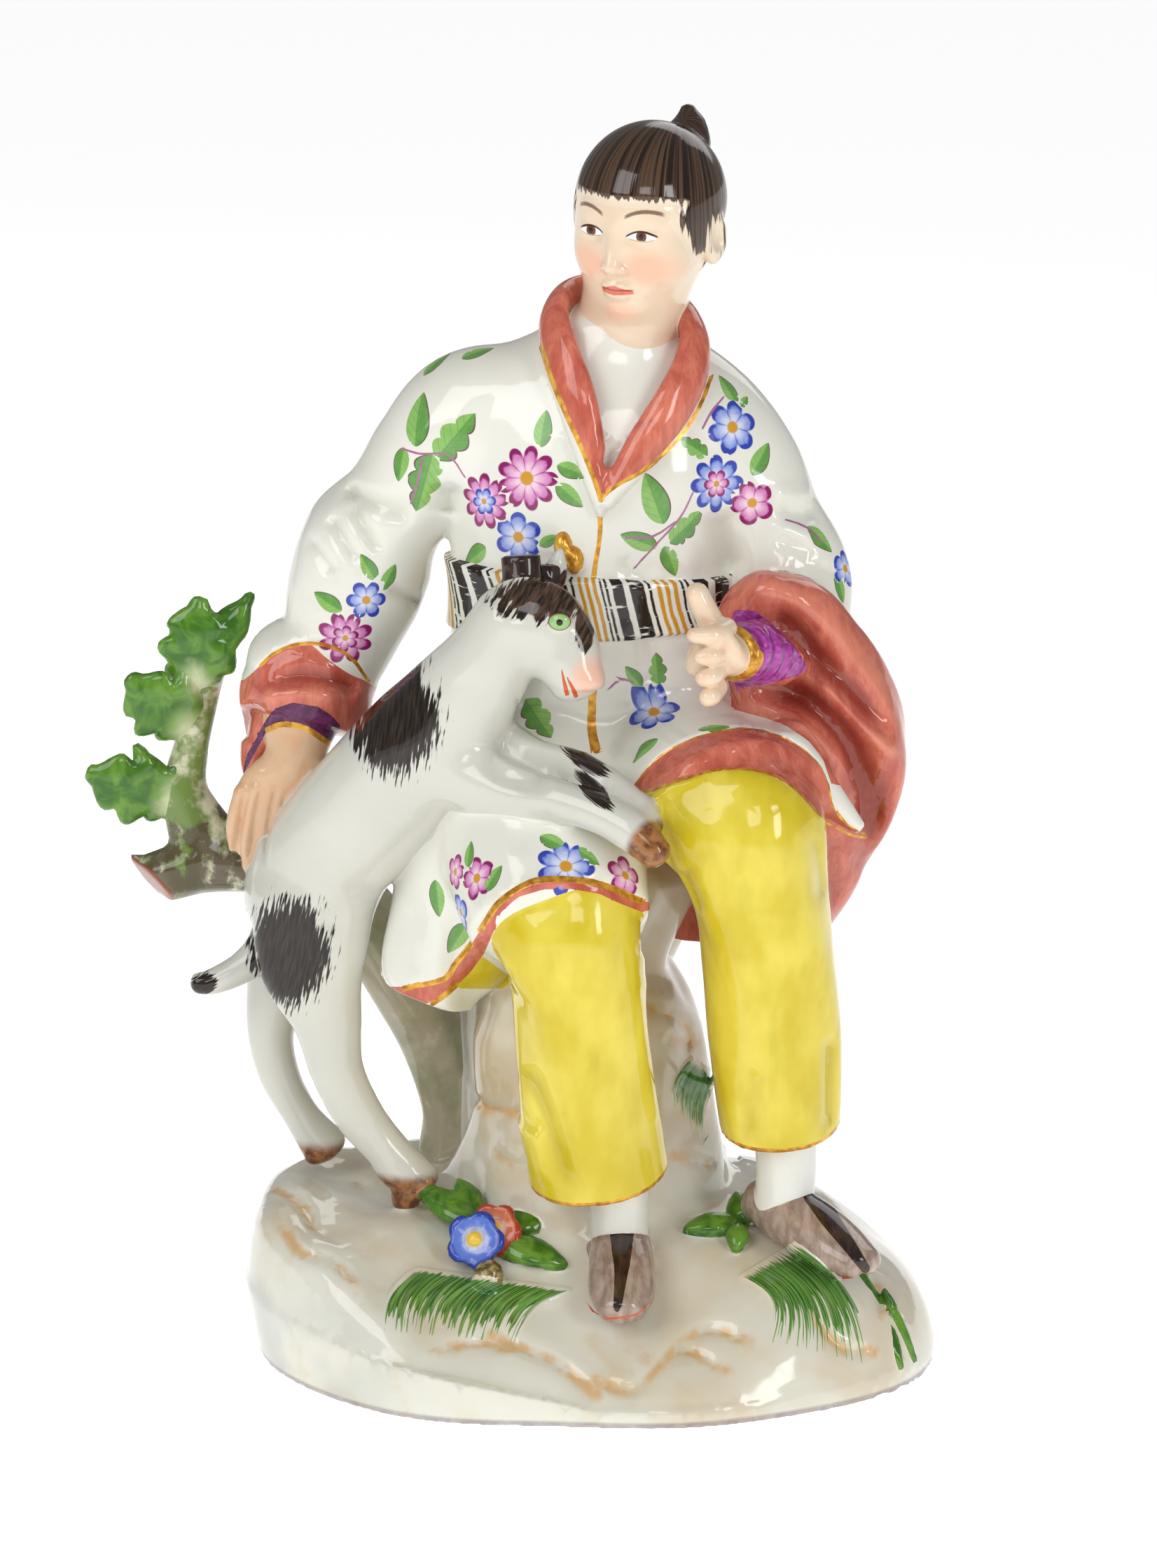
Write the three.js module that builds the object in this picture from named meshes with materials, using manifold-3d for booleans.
// Porcelain figure group: a seated figure in a flowered robe with a young goat, on a rocky plinth.
// The whole group is one fired piece, so it is one solid.
// Millimetres, +Z up, the front towards -Y. The origin is on the underside, at the middle of the plinth.
import * as THREE from 'three';
import * as BufferGeometryUtils from 'three/addons/utils/BufferGeometryUtils.js';
import Module from 'manifold-3d';

// Driving dimensions
const PLINTH_HALF_WIDTH = 49.5;
const PLINTH_HALF_DEPTH = 37;
const PLINTH_HEIGHT = 20;
const PLINTH_SQUARENESS = 2.4;
const FRONT_SLOPE_DROP = 9;
const HILL_FALL = 6;
const LEFT_RIM = 1.8;
const HEAD_CENTRE = new THREE.Vector3(7.4, 0.8, 161.6);
const HEAD_TURN = THREE.MathUtils.degToRad(28);
const HEAD_NOD = THREE.MathUtils.degToRad(9);
const HEAD_TILT = THREE.MathUtils.degToRad(3);
const UNDERCUT = 0.035;
const PLINTH_SIDES = 40;
const PLINTH_ROWS = [1, 1, 0.985, 0.95, 0.88, 0.76, 0.56, 0.3];
const FINGER_RADIUS = 1.55;
const FINGER_TAPER = 0.08;
const THUMB_RADIUS = 1.9;
const FINGERS = [0, 1, 2, 3];
const LEAF_THICKNESS = 1.5;
const LOBE_DEPTH = 0.3;
const PETAL_DEPTH = 0.28;
const GRASS_BLADES = 5;
const GRASS_WIDTH = 2.2;

// A form with a cap at least this long for its width gets one more ring, which rounds its end
const DOMED_CAP = 0.6;
const DOME_WIDTH = 0.72;
const DOME_REACH = 0.7;

// Edges shorter than SLIVER are closed up where no face turns by more than SLIVER_TURN, as a cosine
const SLIVER = 0.6;
const SLIVER_TURN = 0.7;

// Stations of the rounded forms: centre x, y, z, then half width and half depth
const SEAT_ROCK = [
  [-1, 7, 12, 24, 22],
  [-0.5, 6, 24, 19.5, 18],
  [-0.5, 5.5, 35, 16.6, 16],
  [-1.4, 5, 46, 15.8, 17],
  [-2, 5, 57, 13, 17],
  [1, 5, 70, 15, 15],
];
const TORSO = [
  [0.5, 5, 90, 22.5, 15],
  [0.3, 4, 100, 20.8, 14],
  [0, 3.5, 108, 19.6, 12.8],
  [0.8, 4, 116, 20.8, 13.4],
  [1.6, 4, 125, 22, 13.6],
  [2.6, 4.5, 133, 20.5, 12.5],
  [3.2, 5, 139.5, 16, 10.5],
  [3.6, 5, 145, 9.5, 8.8],
];
const SASH = [
  [0.1, 3.5, 104.4, 20.6, 13.8],
  [0, 3.5, 108.2, 20.2, 13.6],
  [0.2, 3.6, 112.2, 21, 14],
];
const NECK = [
  [3.6, 3.5, 135, 9, 7.5],
  [4.2, 3, 142, 7.6, 7],
  [5.4, 2.6, 148, 7.2, 7],
  [6.6, 2.2, 155, 7.6, 7.6],
];
const COLLAR = [
  [0.7, -10.4, 123.2, 1, 1.2],
  [-0.6, -9.7, 131, 2.3, 1.6],
  [-2.4, -8.2, 137.6, 3, 1.8],
  [-4.5, -4.8, 143.2, 3.1, 1.8],
  [-5.3, 0.4, 147.4, 2.9, 1.8],
  [-2.6, 7, 149, 2.9, 1.8],
  [4.2, 11, 148.6, 2.9, 1.8],
  [11, 6.6, 147.4, 2.9, 1.8],
  [13.7, 0, 145, 2.9, 1.8],
  [13.2, -4.6, 141, 3.1, 1.8],
  [10.4, -8, 136, 3, 1.8],
  [6.4, -9.8, 130.6, 2.5, 1.7],
  [1.6, -10.8, 123.6, 1.2, 1.4],
];
const RIGHT_SLEEVE = [
  [-8, 5, 133, 10, 9],
  [-16.2, 5.5, 131.2, 10.6, 9.6],
  [-22.2, 6, 125.8, 9, 9],
  [-27, 6.8, 119.6, 7.6, 8.6],
  [-31, 7.6, 113.6, 9.4, 9.4],
  [-33.4, 7.6, 107, 9.4, 9.4],
  [-35.2, 7.4, 101.5, 8.2, 8.4],
  [-37, 6.6, 97, 7.4, 7.6],
];
const RIGHT_CUFF = [
  [-37, 7.2, 101, 6.4, 6.6],
  [-38.6, 6.8, 97.6, 9, 8.8],
  [-40, 5.6, 93.2, 9.4, 9.2],
  [-41, 4.2, 89.4, 8.6, 8.6],
];
const SLEEVE_TIP = [
  [-43, 5.6, 93, 5, 6.4],
  [-45.6, 5.4, 88, 3.6, 5],
  [-47.4, 5.2, 84, 1.6, 3],
];
const RIGHT_WRIST = [
  [-40.2, 3.2, 93, 6.2, 5.8],
  [-41, 1.2, 88.4, 5, 4.4],
  [-41.4, 0, 85.6, 4.3, 3.4],
  [-42.4, -0.2, 82.6, 5, 3.1],
  [-44, 0.3, 79.2, 5.9, 3],
  [-45, 1.2, 76.4, 5.4, 2.7],
];
const LEFT_SLEEVE = [
  [8, 5, 134, 9.5, 9],
  [14.4, 5, 130.8, 9.8, 9.4],
  [20, 5, 124.4, 9.2, 9],
  [23.6, 4.4, 117.6, 8.2, 8.8],
  [26.4, 3.2, 111.4, 8.8, 9],
  [27.2, 1.6, 106, 8.4, 8.8],
  [27, 0, 100, 7.6, 8],
];
const LEFT_OPEN_SLEEVE = [
  [21.4, -9.6, 110, 5.4, 3.6],
  [24.8, -7.6, 106.6, 8.4, 6.6],
  [27.6, -5.4, 100.6, 9.8, 8.2],
  [30.8, -3.2, 94, 10.6, 9],
  [32.8, -1.8, 87.4, 11.2, 9.2],
  [31.6, -1, 81, 10.8, 9],
  [29.2, 0, 74.6, 10, 8.2],
  [27, 1.6, 68, 9.6, 7.4],
  [24.2, 3.4, 61.4, 9, 6.2],
];
const LEFT_FOREARM = [
  [30.5, -5, 102, 6, 6.4],
  [26.6, -11, 103.6, 5, 5.6],
  [22.6, -16.2, 104.6, 4, 4.8],
  [20.2, -19, 105, 3.4, 4],
  [17.6, -21.6, 105.6, 2.9, 4.6],
  [15.6, -23, 106, 2.4, 5.2],
];
const RIGHT_THIGH_ROBE = [
  [-4, 6, 84, 17, 15],
  [-7, -5, 80, 15.5, 13.6],
  [-6.4, -16, 74.6, 14, 12.4],
  [-4.6, -25, 69, 12.4, 10],
];
const LEFT_THIGH_ROBE = [
  [7, 6, 88, 15, 10],
  [12, -5, 86, 14.6, 9.4],
  [17, -14, 84.6, 13.4, 9.8],
  [19.4, -20.6, 83.2, 12.5, 10.6],
];
const ROBE_CORNER = [
  [25, -15, 89.6, 5, 5],
  [30.6, -16.4, 85, 3, 2.8],
  [36, -17, 80, 1.1, 1.1],
];
const SIDE_DRAPE = [
  [-9, -1, 84, 13, 13],
  [-13.4, -2.4, 74, 13.4, 13.4],
  [-17.6, -4, 64, 11, 12],
  [-20.6, -5.4, 57, 9.4, 9.6],
  [-21.8, -6, 53, 8.6, 8.4],
];
const ROBE_TAIL = [
  [19, 6, 78, 12, 9],
  [20, 7.4, 67, 10.6, 7],
  [20.6, 8, 58, 9.6, 5.4],
];
const BACK_DRAPE = [
  [0.6, 5.4, 102, 19.4, 12.6],
  [1, 8.4, 90, 21, 13.4],
  [0.5, 12.6, 76, 20.4, 12.4],
  [-2, 15, 62, 17, 10.5],
  [-5, 17, 48, 14, 9],
  [-6, 18, 34, 14.5, 9],
  [-6, 19, 20, 16, 9],
];
const RIGHT_LEG = [
  [-4, -17, 71.5, 9.6, 8.6],
  [-3.7, -24.6, 68, 10.4, 8.8],
  [-2, -24, 60, 9.2, 8.6],
  [-1.3, -21.6, 50, 9.2, 8.8],
  [-0.4, -19, 39, 9.6, 9],
  [0.7, -17, 30.4, 9.8, 9],
];
const LEFT_LEG = [
  [17, -12, 84, 10.6, 9.6],
  [20, -21.4, 81.4, 11.2, 9.6],
  [22.8, -21, 71, 9.2, 9],
  [24.2, -18.6, 61, 9.1, 8.8],
  [25, -16.6, 51, 9.2, 8.8],
  [25.6, -15, 42, 8.8, 8.6],
  [26, -14, 36.4, 8.4, 8.4],
];
const RIGHT_ANKLE = [
  [3, -15, 35, 4.4, 4.6],
  [3.6, -14.4, 25, 4.1, 4.4],
  [3.8, -13.6, 19, 4.1, 4.6],
];
const LEFT_ANKLE = [
  [26.6, -13, 38, 4.4, 4.6],
  [27, -12.6, 29, 4.2, 4.5],
  [26.6, -12, 23.6, 4.1, 4.6],
];
const RIGHT_SHOE = [
  [3.8, -9.4, 18.4, 3.4, 3.4],
  [3.9, -14.5, 18.2, 4.3, 4],
  [4, -20.4, 17.2, 4.6, 3.8],
  [4, -25.4, 15.6, 4.6, 3],
  [3.9, -29, 14.4, 3.4, 2.2],
];
const LEFT_SHOE = [
  [23.8, -8.8, 23.2, 3.2, 3.4],
  [26.6, -12.4, 22.8, 4.2, 4],
  [30.4, -16.8, 22, 4.6, 3.9],
  [34.2, -21.2, 20.6, 4.5, 3.1],
  [37, -24.6, 19.6, 3.2, 2.2],
];
const TRUNK = [
  [-20, 19.6, 13, 6.8, 6.4],
  [-20.2, 19.2, 21, 4.8, 5],
  [-20.4, 18.6, 28, 4, 4.4],
  [-23, 17.2, 38, 4.5, 4.8],
  [-27, 15.4, 47, 5.4, 5.2],
  [-32.4, 13, 57, 5.6, 5.4],
  [-38.6, 10.6, 64.2, 5, 5],
  [-46, 9.6, 66.8, 4.2, 4.2],
  [-55, 10.4, 66.8, 4.1, 4],
  [-62.4, 11, 64.8, 3.7, 3.6],
  [-66, 11.2, 65.2, 1.2, 2.8],
];
const TWIG = [
  [-54.6, 10.4, 69, 5.4, 3.4],
  [-57.6, 10.8, 77, 3.4, 2.8],
  [-57, 11.2, 83, 2.6, 2.2],
  [-54.9, 11.4, 90, 1.9, 1.8],
  [-54, 11.2, 95.6, 2.4, 1.8],
  [-53, 11, 99, 1.8, 1.4],
];
const GOAT_BODY = [
  [-41.2, 1, 60, 6.4, 6],
  [-40.4, -0.6, 66, 8.6, 7.8],
  [-35, -4, 74.4, 9.2, 8.8],
  [-28.2, -8, 83, 9.4, 8.8],
  [-21.8, -12, 91, 9.2, 8.6],
  [-17.6, -14.6, 97.6, 7.6, 6.8],
  [-13.8, -16.2, 103.4, 6.2, 5.8],
  [-10.6, -17, 108.8, 5.6, 5.4],
];
const GOAT_HEAD = [
  [-9.8, -15.8, 110.8, 4.4, 4.6],
  [-7, -17.6, 108.4, 6, 4.9],
  [-3.9, -19.2, 104.6, 5.4, 4.2],
  [-2.2, -20.3, 101.4, 4, 3.5],
];
const GOAT_NEAR_HIND_LEG = [
  [-38.8, -5, 66, 8.4, 6.4],
  [-39.2, -6.4, 57.4, 7.6, 5],
  [-37.2, -5.6, 48.6, 4.9, 3.8],
  [-36, -4.2, 41, 3.8, 3.2],
  [-33, -3.6, 34, 3.5, 2.9],
  [-28.8, -3.4, 28.4, 3.1, 2.8],
  [-25.2, -3.6, 23.6, 3.9, 3.2],
];
const GOAT_FAR_HIND_LEG = [
  [-42, 5, 60, 6, 5.4],
  [-44.4, 7, 51, 4.8, 4.4],
  [-46, 8.4, 43, 3.4, 3.3],
  [-45, 9.2, 36, 2.9, 2.8],
  [-42, 9.8, 29.6, 2.6, 2.6],
  [-38.6, 10, 24.6, 3.4, 2.9],
];
const GOAT_NEAR_FORELEG = [
  [-19.6, -16, 88, 5.2, 4.6],
  [-13, -19.6, 86.4, 4.2, 3.8],
  [-5.6, -24.6, 86, 3, 2.8],
  [1.2, -28.6, 84.8, 2.7, 2.6],
  [5.6, -31, 82.8, 2.8, 2.7],
  [8.4, -32.4, 80.4, 2.2, 2.2],
];
const GOAT_FAR_FORELEG = [
  [-13, -12.6, 90.8, 3.6, 3.6],
  [-8, -16.6, 89.6, 2.6, 2.6],
  [-1.2, -21.6, 89, 2.4, 2.4],
  [4.4, -26, 86, 2.4, 2.3],
  [7.4, -28.6, 82.8, 2.1, 2.1],
];
const GOAT_TAIL = [
  [-44.6, 2, 58, 3.4, 3.2],
  [-49.2, 0.6, 54.6, 2.3, 2.2],
  [-53.2, -0.4, 52.8, 1.9, 1.8],
  [-55.6, -1, 52.6, 1.5, 1.5],
];
const NEAR_HORN = [
  [-10.8, -15, 111, 1.9, 1.7],
  [-10.6, -14.6, 115, 1.7, 1.5],
  [-10.2, -14.2, 117, 1.5, 1.4],
];
const FAR_HORN = [
  [-8.2, -13, 111, 1.6, 1.5],
  [-8.2, -12.4, 115, 1.4, 1.3],
  [-8, -12, 117, 1.2, 1.1],
];

const UP = new THREE.Vector3(0, 0, 1);
const ACROSS = new THREE.Vector3(1, 0, 0);
const TO_FRONT = new THREE.Vector3(0, -1, 0);

const wasm = await Module();
wasm.setup();

// A closed three.js geometry as a solid
function solid(geometry) {
  const bare = geometry.clone();
  bare.deleteAttribute('normal');
  bare.deleteAttribute('uv');
  const merged = BufferGeometryUtils.mergeVertices(bare, 1e-4);
  return new wasm.Manifold(new wasm.Mesh({
    numProp: 3,
    vertProperties: new Float32Array(merged.attributes.position.array),
    triVerts: new Uint32Array(merged.index.array),
  }));
}

// Rings of equal length, closed at both ends by a pole each, with the faces pointing outwards
function solidFromRings(rings, startPole, endPole) {
  const sides = rings[0].length;
  const points = [startPole, ...rings.flat(), endPole];
  const last = points.length - 1;
  const index = [];
  for (let j = 0; j < sides; j += 1) {
    const next = (j + 1) % sides;
    index.push(0, 1 + next, 1 + j);
    for (let i = 0; i < rings.length - 1; i += 1) {
      const a = 1 + i * sides + j;
      const b = 1 + i * sides + next;
      index.push(a, b, a + sides, b, b + sides, a + sides);
    }
    const end = 1 + (rings.length - 1) * sides;
    index.push(last, end + j, end + next);
  }
  const geometry = new THREE.BufferGeometry().setFromPoints(points);
  geometry.setIndex(index);
  return solid(geometry);
}

// A rounded form through stations. The half width lies along `side`, or the half depth along `outward`.
// `ripple` scales a ring by its angle and place, for folds of cloth.
function loft(stations, options = {}) {
  const { sides = 12, steps = 1, side = ACROSS, outward = null, ripple = null, cap = 0.7 } = options;
  const centres = new THREE.CatmullRomCurve3(
    stations.map(([x, y, z]) => new THREE.Vector3(x, y, z)), false, 'catmullrom', 0.5);
  const sizes = new THREE.CatmullRomCurve3(
    stations.map(([, , , a, b]) => new THREE.Vector3(a, b, 0)), false, 'catmullrom', 0.5);
  const count = (stations.length - 1) * steps;
  const ringAt = (t, scale, shift) => {
    const tangent = centres.getTangent(t);
    const centre = centres.getPoint(t).addScaledVector(tangent, shift);
    const size = sizes.getPoint(t);
    let across;
    if (outward) {
      across = new THREE.Vector3().crossVectors(outward(centre), tangent).normalize();
    } else {
      across = side.clone().addScaledVector(tangent, -side.dot(tangent)).normalize();
    }
    const depth = new THREE.Vector3().crossVectors(tangent, across);
    const ring = [];
    for (let j = 0; j < sides; j += 1) {
      const angle = (j / sides) * 2 * Math.PI;
      const swell = scale * (ripple ? ripple(angle, t) : 1);
      ring.push(centre.clone()
        .addScaledVector(across, size.x * Math.cos(angle) * swell)
        .addScaledVector(depth, size.y * Math.sin(angle) * swell));
    }
    return ring;
  };
  const capAt = (t, sign) => cap * sign * Math.min(sizes.getPoint(t).x, sizes.getPoint(t).y);
  const rings = [];
  for (let i = 0; i <= count; i += 1) {
    rings.push(ringAt(i / count, 1, 0));
  }
  if (cap >= DOMED_CAP) {
    rings.unshift(ringAt(0, DOME_WIDTH, DOME_REACH * capAt(0, -1)));
    rings.push(ringAt(1, DOME_WIDTH, DOME_REACH * capAt(1, 1)));
  }
  const startPole = centres.getPoint(0).addScaledVector(centres.getTangent(0), capAt(0, -1));
  const endPole = centres.getPoint(1).addScaledVector(centres.getTangent(1), capAt(1, 1));
  return solidFromRings(rings, startPole, endPole);
}

// A ball or an egg with its own half sizes and turn
function egg(centre, halfSizes, rotation = new THREE.Euler(), across = 14, down = 10) {
  const geometry = new THREE.SphereGeometry(1, across, down);
  geometry.rotateX(Math.PI / 2);
  geometry.scale(...halfSizes);
  geometry.applyMatrix4(new THREE.Matrix4().makeRotationFromEuler(rotation));
  geometry.translate(centre.x, centre.y, centre.z);
  return solid(geometry);
}

// A leaf or petal from base to tip: a thin form whose edge swells into lobes and whose middle bows outwards
function leaf(base, tip, options) {
  const { width, lobes = 0, bow = 0, face = TO_FRONT, steps = 9 } = options;
  const along = tip.clone().sub(base);
  const side = new THREE.Vector3().crossVectors(along, face).normalize();
  const lift = new THREE.Vector3().crossVectors(side, along).normalize();
  const stations = [];
  for (let i = 0; i <= steps; i += 1) {
    const s = i / steps;
    const outline = Math.sin(Math.PI * Math.min(0.14 + 0.8 * s, 1)) ** 0.8;
    const notch = lobes ? 1 - LOBE_DEPTH * Math.cos(2 * Math.PI * lobes * s) : 1;
    const centre = base.clone().addScaledVector(along, s).addScaledVector(lift, bow * Math.sin(Math.PI * s));
    stations.push([...centre, width * outline * notch, LEAF_THICKNESS * (1 - 0.4 * s)]);
  }
  return loft(stations, { sides: 4, side, cap: 0.5 });
}

// A flower of round petals about a raised eye, facing `face`
function blossom(centre, radius, petals, face) {
  const level = new THREE.Vector3().crossVectors(face, UP).normalize();
  const upright = new THREE.Vector3().crossVectors(level, face).normalize();
  const sides = petals * 4;
  const ringAt = (reach, lift, scallop) => Array.from({ length: sides }, (_, j) => {
    const angle = (j / sides) * 2 * Math.PI;
    const r = radius * reach * (1 - scallop + scallop * Math.abs(Math.cos((petals * angle) / 2)) ** 0.6);
    return centre.clone()
      .addScaledVector(level, -r * Math.cos(angle))
      .addScaledVector(upright, r * Math.sin(angle))
      .addScaledVector(face, radius * lift);
  });
  const rings = [
    ringAt(1, -0.1, PETAL_DEPTH),
    ringAt(0.9, 0.14, PETAL_DEPTH),
    ringAt(0.36, 0, PETAL_DEPTH / 3),
  ];
  const root = centre.clone().addScaledVector(face, -radius);
  const eye = centre.clone().addScaledVector(face, radius * 0.34);
  return solidFromRings(rings, root, eye);
}

// A tuft of grass: blades side by side, their roots on one line and their tips on another
function tuft(firstRoot, lastRoot, firstTip, lastTip, face) {
  const blades = Array.from({ length: GRASS_BLADES }, (_, i) => {
    const s = i / (GRASS_BLADES - 1);
    const root = firstRoot.clone().lerp(lastRoot, s);
    const tip = firstTip.clone().lerp(lastTip, s);
    return leaf(root, tip, { width: GRASS_WIDTH, face, bow: 0.9, steps: 2 });
  });
  return join(blades);
}

function join(parts) {
  return parts.reduce((whole, part) => whole.add(part));
}

function at(x, y, z) {
  return new THREE.Vector3(x, y, z);
}

function smoothstep(low, high, value) {
  return THREE.MathUtils.smoothstep(value, low, high);
}

// Ground level on the plinth: a flat rock at the left, a valley in front and a hill at the right
function groundLevel(x, y) {
  const valley = smoothstep(-40, -18, x) * (1 - 0.7 * smoothstep(12, 30, x));
  const slope = smoothstep(6, 36, -y);
  const fall = HILL_FALL * smoothstep(24, 46, x) * smoothstep(-24, 14, y);
  const ridges = 0.5 * Math.sin(0.31 * x + 1) * Math.cos(0.27 * y) + LEFT_RIM * smoothstep(34, 44, -x);
  return PLINTH_HEIGHT - FRONT_SLOPE_DROP * valley * slope - 2.5 * slope - fall + ridges;
}

function plinthRadius(angle) {
  const c = Math.abs(Math.cos(angle) / PLINTH_HALF_WIDTH) ** PLINTH_SQUARENESS;
  const s = Math.abs(Math.sin(angle) / PLINTH_HALF_DEPTH) ** PLINTH_SQUARENESS;
  return (1 - 0.012 * (1 + Math.sin(7 * angle + 1))) / (c + s) ** (1 / PLINTH_SQUARENESS);
}

// Height of the rock over a point of the plinth: upright at the left, rounded off elsewhere
function rockHeight(x, y) {
  const angle = Math.atan2(y, x);
  const fraction = Math.min(Math.hypot(x, y) / plinthRadius(angle), 1);
  const leftwards = Math.max(-Math.cos(angle), 0);
  const steepness = 6 + 40 * leftwards ** 2;
  const shoulder = Math.sqrt(1 - fraction ** steepness);
  const rim = 2.5 + 8 * leftwards;
  return Math.max(groundLevel(x, y) * shoulder, rim);
}

function plinth() {
  const rings = PLINTH_ROWS.map((fraction, row) => Array.from({ length: PLINTH_SIDES }, (_, j) => {
    const angle = (j / PLINTH_SIDES) * 2 * Math.PI;
    const leftwards = Math.max(-Math.cos(angle), 0);
    const radius = plinthRadius(angle) * fraction * (row === 0 ? 1 - UNDERCUT * leftwards : 1);
    const x = radius * Math.cos(angle);
    const y = radius * Math.sin(angle);
    return at(x, y, row === 0 ? 0 : rockHeight(x, y));
  }));
  return solidFromRings(rings, at(0, 0, 0), at(0, 0, groundLevel(0, 0)));
}

// A point that stands `lift` above the rock
function onRock(x, y, lift) {
  return at(x, y, rockHeight(x, y) + lift);
}

function rockFolds(angle, t) {
  return 1 + 0.04 * Math.sin(3 * angle + 5 * t) + 0.03 * Math.sin(7 * angle - 9 * t);
}

function seatRock() {
  return loft(SEAT_ROCK, { sides: 16, ripple: rockFolds, cap: 0.3 });
}

// Folds that gather at one place along a form and run out towards its ends
function gathers(count, depth, place, reach) {
  return (angle, t) => {
    const nearness = Math.exp(-(((t - place) / reach) ** 2));
    return 1 + depth * (0.3 + nearness) * Math.sin(count * angle + 9 * t);
  };
}

function robe() {
  return join([
    loft(TORSO, { sides: 18, ripple: gathers(9, 0.01, 0.35, 0.2), cap: 0.4 }),
    loft(SASH, { sides: 18, cap: 0.05 }),
    loft(COLLAR, {
      sides: 5,
      outward: (p) => p.clone().sub(at(4.2, 3, p.z - 3)).normalize(),
      cap: 0.5,
    }),
    loft(RIGHT_SLEEVE, { sides: 12, steps: 2, ripple: gathers(5, 0.035, 0.5, 0.2) }),
    loft(RIGHT_CUFF, { sides: 12, steps: 2, ripple: gathers(4, 0.02, 0.5, 0.4), cap: 0.1 }),
    loft(SLEEVE_TIP, { sides: 6 }),
    loft(LEFT_SLEEVE, { sides: 12, steps: 2, ripple: gathers(5, 0.035, 0.55, 0.2) }),
    loft(LEFT_OPEN_SLEEVE, { sides: 16, ripple: gathers(5, 0.045, 0.6, 0.5) }),
    loft(RIGHT_THIGH_ROBE, { sides: 14, cap: 0.3 }),
    loft(LEFT_THIGH_ROBE, { sides: 14, cap: 0.3 }),
    loft(ROBE_CORNER, { sides: 6, side: at(0.6, 0, 0.8) }),
    loft(SIDE_DRAPE, { sides: 12, ripple: gathers(5, 0.04, 1, 0.5), cap: 0.15 }),
    loft(ROBE_TAIL, { sides: 12, ripple: gathers(4, 0.04, 1, 0.5), cap: 0.15 }),
    loft(BACK_DRAPE, { sides: 16, ripple: gathers(8, 0.05, 1, 0.6), cap: 0.2 }),
  ]);
}

function legs() {
  return join([
    loft(RIGHT_LEG, { sides: 14, ripple: gathers(5, 0.025, 0.3, 0.3), cap: 0.12 }),
    loft(LEFT_LEG, { sides: 14, ripple: gathers(5, 0.025, 0.3, 0.3), cap: 0.12 }),
    loft(RIGHT_ANKLE, { sides: 8, cap: 0.3 }),
    loft(LEFT_ANKLE, { sides: 8, cap: 0.3 }),
    loft(RIGHT_SHOE, { sides: 10 }),
    loft(LEFT_SHOE, { sides: 10, side: at(0.78, 0.62, 0) }),
  ]);
}

// A point of the head, from its own right, forward and up distances
function headPoint(right, forward, up) {
  const point = at(right, -forward, up);
  point.applyEuler(new THREE.Euler(HEAD_NOD, 0, 0));
  point.applyEuler(new THREE.Euler(0, HEAD_TILT, -HEAD_TURN));
  return point.add(HEAD_CENTRE);
}

function headForm(stations, options) {
  const side = headPoint(1, 0, 0).sub(HEAD_CENTRE);
  return loft(stations.map(([right, forward, up, a, b]) => [...headPoint(right, forward, up), a, b]), {
    side,
    ...options,
  });
}

function head() {
  const face = [
    [0, 0.6, 7.5, 7.2, 8],
    [0, 1.2, 3, 8.4, 8.8],
    [0, 1.4, -1, 8.7, 8.9],
    [0, 1.6, -4.8, 8.4, 8.6],
    [0, 2.2, -8, 7.2, 7.4],
    [0, 3, -10.6, 5.2, 5.6],
  ];
  const nose = [
    [0, 9, 2, 1, 1],
    [0, 10.2, -0.6, 1.2, 1.2],
    [0, 10.8, -2.6, 1.6, 1.4],
  ];
  const mouth = [
    [-1.8, 9, -6, 0.6, 0.6],
    [0, 9.7, -6, 1, 0.8],
    [1.8, 9, -6, 0.6, 0.6],
  ];
  const turn = new THREE.Euler(HEAD_NOD, HEAD_TILT, -HEAD_TURN);
  const topknot = [
    [12, 6, 167.6, 3, 3],
    [12.6, 6.8, 170.2, 3.5, 3.3],
    [13, 7.4, 172.6, 2.5, 2.4],
    [12.9, 7.8, 174.4, 1.1, 1.1],
  ];
  return join([
    loft(NECK, { sides: 10, cap: 0.3 }),
    headForm(face, { sides: 14, cap: 0.5 }),
    headForm(nose, { sides: 5, cap: 0.5 }),
    headForm(mouth, { sides: 5, side: UP, cap: 0.5 }),
    egg(headPoint(0, -1, 1.4), [9.8, 10.9, 10.3], turn, 18, 11),
    egg(headPoint(8.8, -0.4, -4.6), [1.4, 2, 2.8], turn, 7, 5),
    egg(headPoint(-8.8, -0.4, -4.6), [1.4, 2, 2.8], turn, 7, 5),
    loft(topknot, { sides: 8 }),
  ]);
}

function finger(points, side, radius) {
  const stations = points.map((point, i) => {
    const thinner = radius * (1 - FINGER_TAPER * i);
    return [...point, thinner, thinner];
  });
  return loft(stations, { sides: 6, side, cap: 0.9 });
}

// The right hand hangs over the branch, with four fingers side by side
function rightHand() {
  const fingers = FINGERS.map((i) => finger([
    [-48.2 + 2.7 * i, 1.2, 78.6 + 0.2 * i],
    [-50 + 2.6 * i, 1.8, 74 - 0.2 * i],
    [-49.9 + 2.5 * i, 2.8, 70.6 - 2.2 * i + 0.55 * i * i],
  ], ACROSS, FINGER_RADIUS));
  return join([loft(RIGHT_WRIST, { sides: 8 }), ...fingers]);
}

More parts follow.
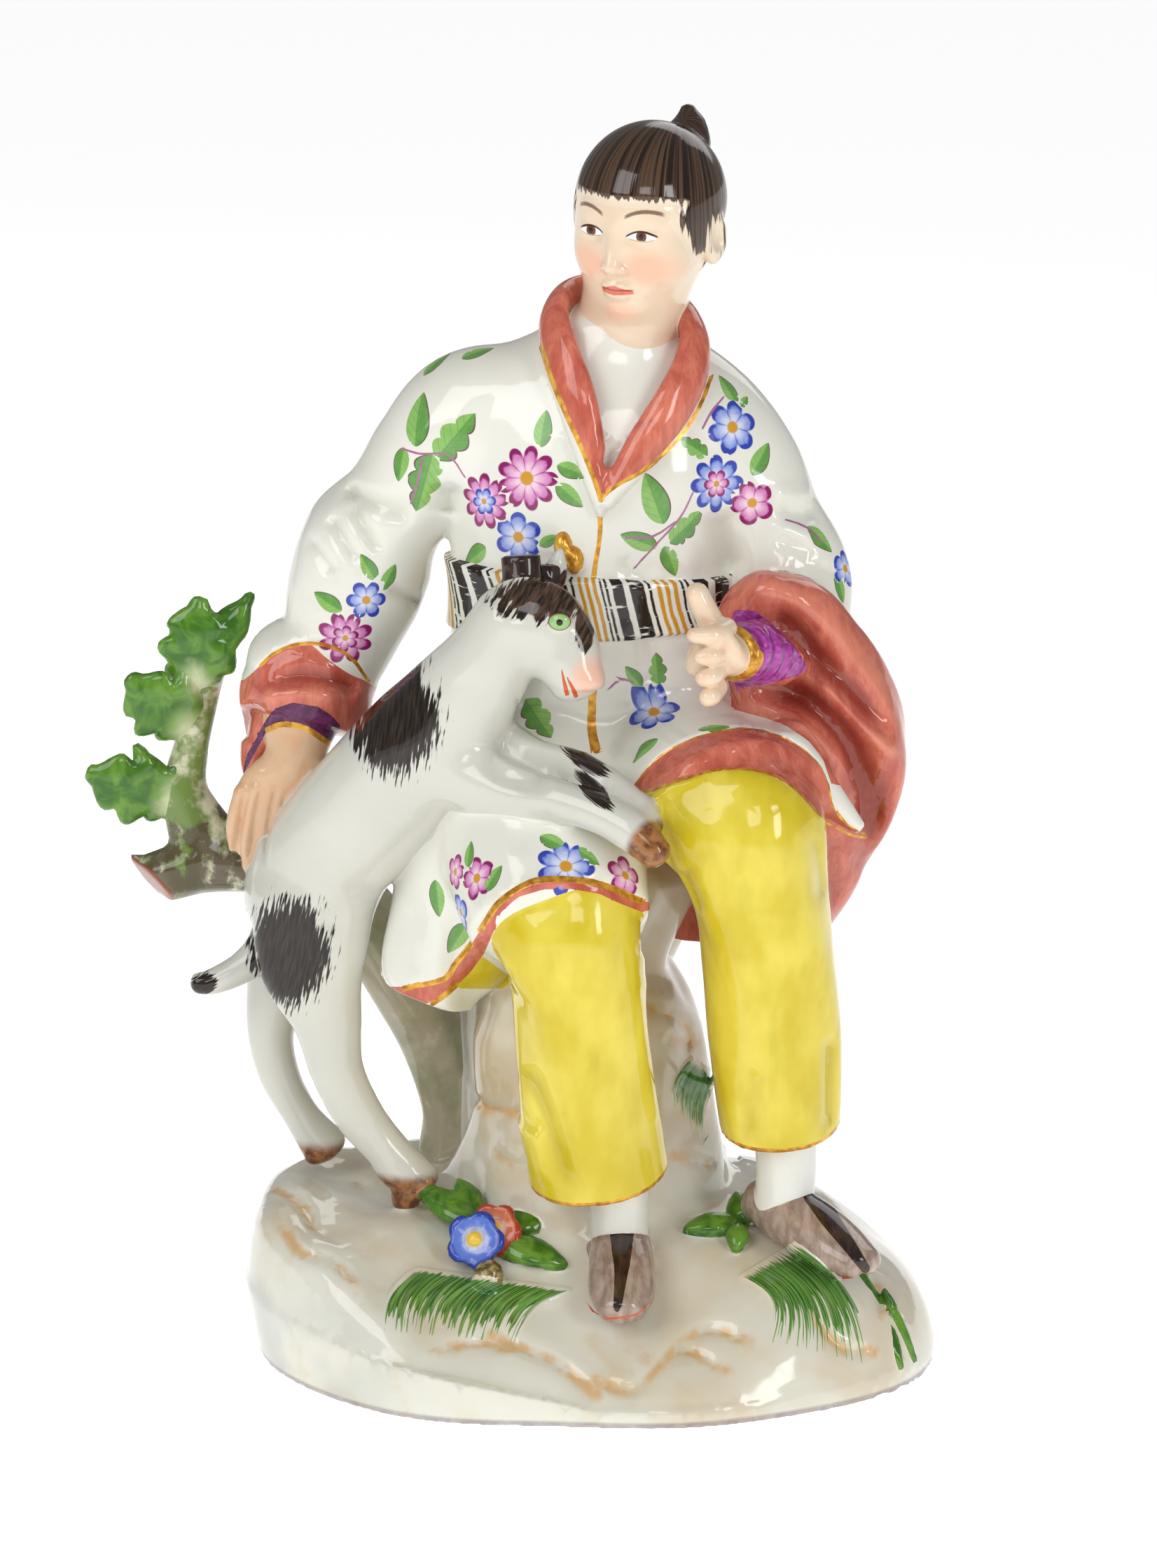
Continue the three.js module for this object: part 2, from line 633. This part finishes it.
// The left hand is held out edge on: the thumb up, the four fingers bent and stacked
function leftHand() {
  const thumb = finger([[18, -21.4, 107], [15.8, -22.4, 111.4], [14.6, -22.6, 113.8]], ACROSS, THUMB_RADIUS);
  const fingers = FINGERS.map((i) => finger([
    [19 - 0.4 * i, -22.6, 109 - 2.7 * i],
    [17.4 - 0.2 * i, -25.4, 108.8 - 2.8 * i],
    [14.4 + 0.6 * i, -25.8, 108.6 - 2.8 * i],
  ], UP, FINGER_RADIUS));
  return join([loft(LEFT_FOREARM, { sides: 10, side: at(0.7, 0.7, 0) }), thumb, ...fingers]);
}

function tree() {
  const blades = [
    // base, tip, width, lobes, bow
    [at(-56.6, 11, 93), at(-55, 9.6, 105.6), 4.8, 3, 1.4],
    [at(-55.5, 11, 95), at(-47.9, 11.5, 105.9), 2.6, 2, 1.2],
    [at(-55.5, 10.4, 94.4), at(-50.4, 9.6, 99.6), 3, 2, 1],
    [at(-57.4, 11, 87), at(-65, 8.4, 94.6), 5, 3, 1.2],
    [at(-57.4, 10.6, 88), at(-57.8, 9, 95), 2.4, 1, 0.6],
    [at(-59.5, 10.6, 76.5), at(-71, 8, 81), 5, 3, 1.2],
    [at(-60.5, 10.4, 76.5), at(-64.4, 9, 84.6), 2.4, 1, 0.6],
    [at(-59.6, 10.6, 78), at(-59, 9.4, 81.5), 1, 0, 0],
  ];
  return join([
    loft(TRUNK, { sides: 10, side: TO_FRONT, ripple: rockFolds, cap: 0.12 }),
    loft(TWIG, { sides: 7 }),
    ...blades.map(([base, tip, width, lobes, bow]) => leaf(base, tip, { width, lobes, bow })),
  ]);
}

function goat() {
  const spine = TO_FRONT.clone().cross(at(0.55, -0.3, 0.78));
  return join([
    loft(GOAT_BODY, { sides: 12, steps: 2, side: spine }),
    loft(GOAT_HEAD, { sides: 12, steps: 2, side: UP, cap: 0.8 }),
    loft(GOAT_NEAR_HIND_LEG, { sides: 8 }),
    loft(GOAT_FAR_HIND_LEG, { sides: 7 }),
    loft(GOAT_NEAR_FORELEG, { sides: 8, side: UP }),
    loft(GOAT_FAR_FORELEG, { sides: 7, side: UP }),
    loft(GOAT_TAIL, { sides: 6, side: UP }),
    loft(NEAR_HORN, { sides: 5, cap: 0.3 }),
    loft(FAR_HORN, { sides: 5, cap: 0.3 }),
    leaf(at(-6, -13.6, 111), at(-4.6, -11.6, 117.6), { width: 1.7, steps: 3 }),
    leaf(at(-9.4, -19.6, 111), at(-4.4, -21.4, 113), { width: 1.5, steps: 3 }),
    leaf(at(-6.6, -18.4, 113.6), at(-1.6, -20.6, 108.4), { width: 2.2, bow: 0.6, steps: 4 }),
  ]);
}

// Applied flowers, leaves and grass on the plinth
function groundCover() {
  const bloomFace = at(-0.15, -0.85, 0.5).normalize();
  const leafFace = at(0, -0.5, 0.87);
  const hillFace = at(-0.2, -0.75, 0.6);
  const rockFace = at(0.75, -0.65, 0.1);
  const leaves = [
    // base, tip, width
    [at(-17, -12, 20.4), at(-24.4, -5, 23.4), 2.4],
    [at(-16, -10, 20.6), at(-19, -5, 24.4), 2],
    [at(-13, -15, 18.6), at(-4, -17.4, 16.6), 2.6],
    [at(-13, -12, 19.6), at(-6, -9, 20.6), 2.2],
    [at(20, -10, 19.8), at(13, -11.6, 19.6), 2],
    [at(21, -9.6, 19.8), at(20.4, -6.4, 23), 2],
    [at(20.4, -11.6, 19.6), at(20, -15.4, 18), 1.8],
    [onRock(38, -14, 0.4), onRock(43, -17, 0.6), 1.6],
  ];
  return join([
    blossom(at(-16.4, -17.6, 20.4), 4.2, 5, bloomFace),
    blossom(at(-13.8, -15, 21), 3.9, 6, bloomFace),
    egg(at(-14.4, -20.6, 16.2), [2.2, 2.2, 2], undefined, 7, 5),
    ...leaves.map(([base, tip, width]) => leaf(base, tip, { width, face: leafFace, bow: 0.8, steps: 4 })),
    tuft(onRock(-20, -23, 0.4), onRock(-7, -23, 0.4), onRock(-27, -28, 0.2), onRock(-6, -29, 0.2), hillFace),
    tuft(onRock(24, -19, 0.4), onRock(31, -17, 0.4), onRock(30, -30, 0.2), onRock(37, -25, 0.2), hillFace),
    tuft(at(11.6, -5.4, 42), at(15.4, -1.6, 42.6), at(12.6, -6.6, 32), at(16, -2.6, 33), rockFace),
  ]);
}

// The surface of a solid as points and faces, with a lookup from each point to its faces
function surfaceOf(shape) {
  const { vertProperties, triVerts } = shape.getMesh();
  const points = [];
  for (let i = 0; i < vertProperties.length; i += 3) {
    points.push(at(vertProperties[i], vertProperties[i + 1], vertProperties[i + 2]));
  }
  const faces = [];
  const facesAt = points.map(() => new Set());
  for (let i = 0; i < triVerts.length; i += 3) {
    const face = [triVerts[i], triVerts[i + 1], triVerts[i + 2]];
    face.forEach((corner) => facesAt[corner].add(faces.length));
    faces.push(face);
  }
  return { points, faces, facesAt };
}

function faceNormal(corners) {
  return new THREE.Triangle(...corners).getNormal(new THREE.Vector3());
}

// Whether an edge may shrink to `middle`: its ends share two other neighbours only, and no face turns over
function mayShrink({ points, faces, facesAt }, a, b, middle) {
  const around = (end) => new Set([...facesAt[end]].flatMap((f) => faces[f]));
  const shared = [...around(a)].filter((corner) => corner !== a && corner !== b && around(b).has(corner));
  if (shared.length !== 2) {
    return false;
  }
  return [...facesAt[a], ...facesAt[b]].every((f) => {
    const face = faces[f];
    if (face.includes(a) && face.includes(b)) {
      return true;
    }
    const before = faceNormal(face.map((corner) => points[corner]));
    const after = faceNormal(face.map((corner) => (corner === a || corner === b ? middle : points[corner])));
    return before.dot(after) > SLIVER_TURN;
  });
}

// The faces of the outer skin, without those of pockets sealed in between the forms
function outerSkin({ faces, facesAt }) {
  const left = new Set(faces.keys().filter((f) => faces[f]));
  let skin = [];
  while (left.size > skin.length) {
    const patch = [];
    const queue = [left.values().next().value];
    left.delete(queue[0]);
    while (queue.length > 0) {
      const face = faces[queue.pop()];
      patch.push(face);
      const touching = face.flatMap((corner) => [...facesAt[corner]]);
      queue.push(...touching.filter((g) => left.delete(g)));
    }
    skin = patch.length > skin.length ? patch : skin;
  }
  return skin;
}

// Closes up the slivers left where forms meet, by shrinking every edge shorter than `limit`
function closeSlivers(shape, limit) {
  const surface = surfaceOf(shape);
  const { points, faces, facesAt } = surface;
  faces.forEach((_, f) => {
    for (let k = 0; k < 3; k += 1) {
      if (!faces[f]) {
        return;
      }
      const a = faces[f][k];
      const b = faces[f][(k + 1) % 3];
      const middle = points[a].clone().lerp(points[b], 0.5);
      if (points[a].distanceTo(points[b]) < limit && mayShrink(surface, a, b, middle)) {
        points[a] = middle;
        [...facesAt[b]].forEach((g) => {
          if (faces[g].includes(a)) {
            faces[g].forEach((corner) => facesAt[corner].delete(g));
            faces[g] = null;
          } else {
            faces[g] = faces[g].map((corner) => (corner === b ? a : corner));
            facesAt[a].add(g);
          }
        });
        facesAt[b].clear();
      }
    }
  });
  const geometry = new THREE.BufferGeometry().setFromPoints(points);
  geometry.setIndex(outerSkin(surface).flat());
  return geometry;
}

function meshOf(name, geometry, material) {
  const mesh = new THREE.Mesh(geometry, material);
  mesh.name = name;
  return mesh;
}

const porcelain = new THREE.MeshStandardMaterial({ color: 0xece9df, roughness: 0.12, metalness: 0 });
const figureGroup = join([
  plinth(),
  seatRock(),
  robe(),
  legs(),
  head(),
  rightHand(),
  leftHand(),
  tree(),
  goat(),
  groundCover(),
]);

const group = new THREE.Group();
group.add(meshOf('figure_group', closeSlivers(figureGroup, SLIVER), porcelain));
export default group;
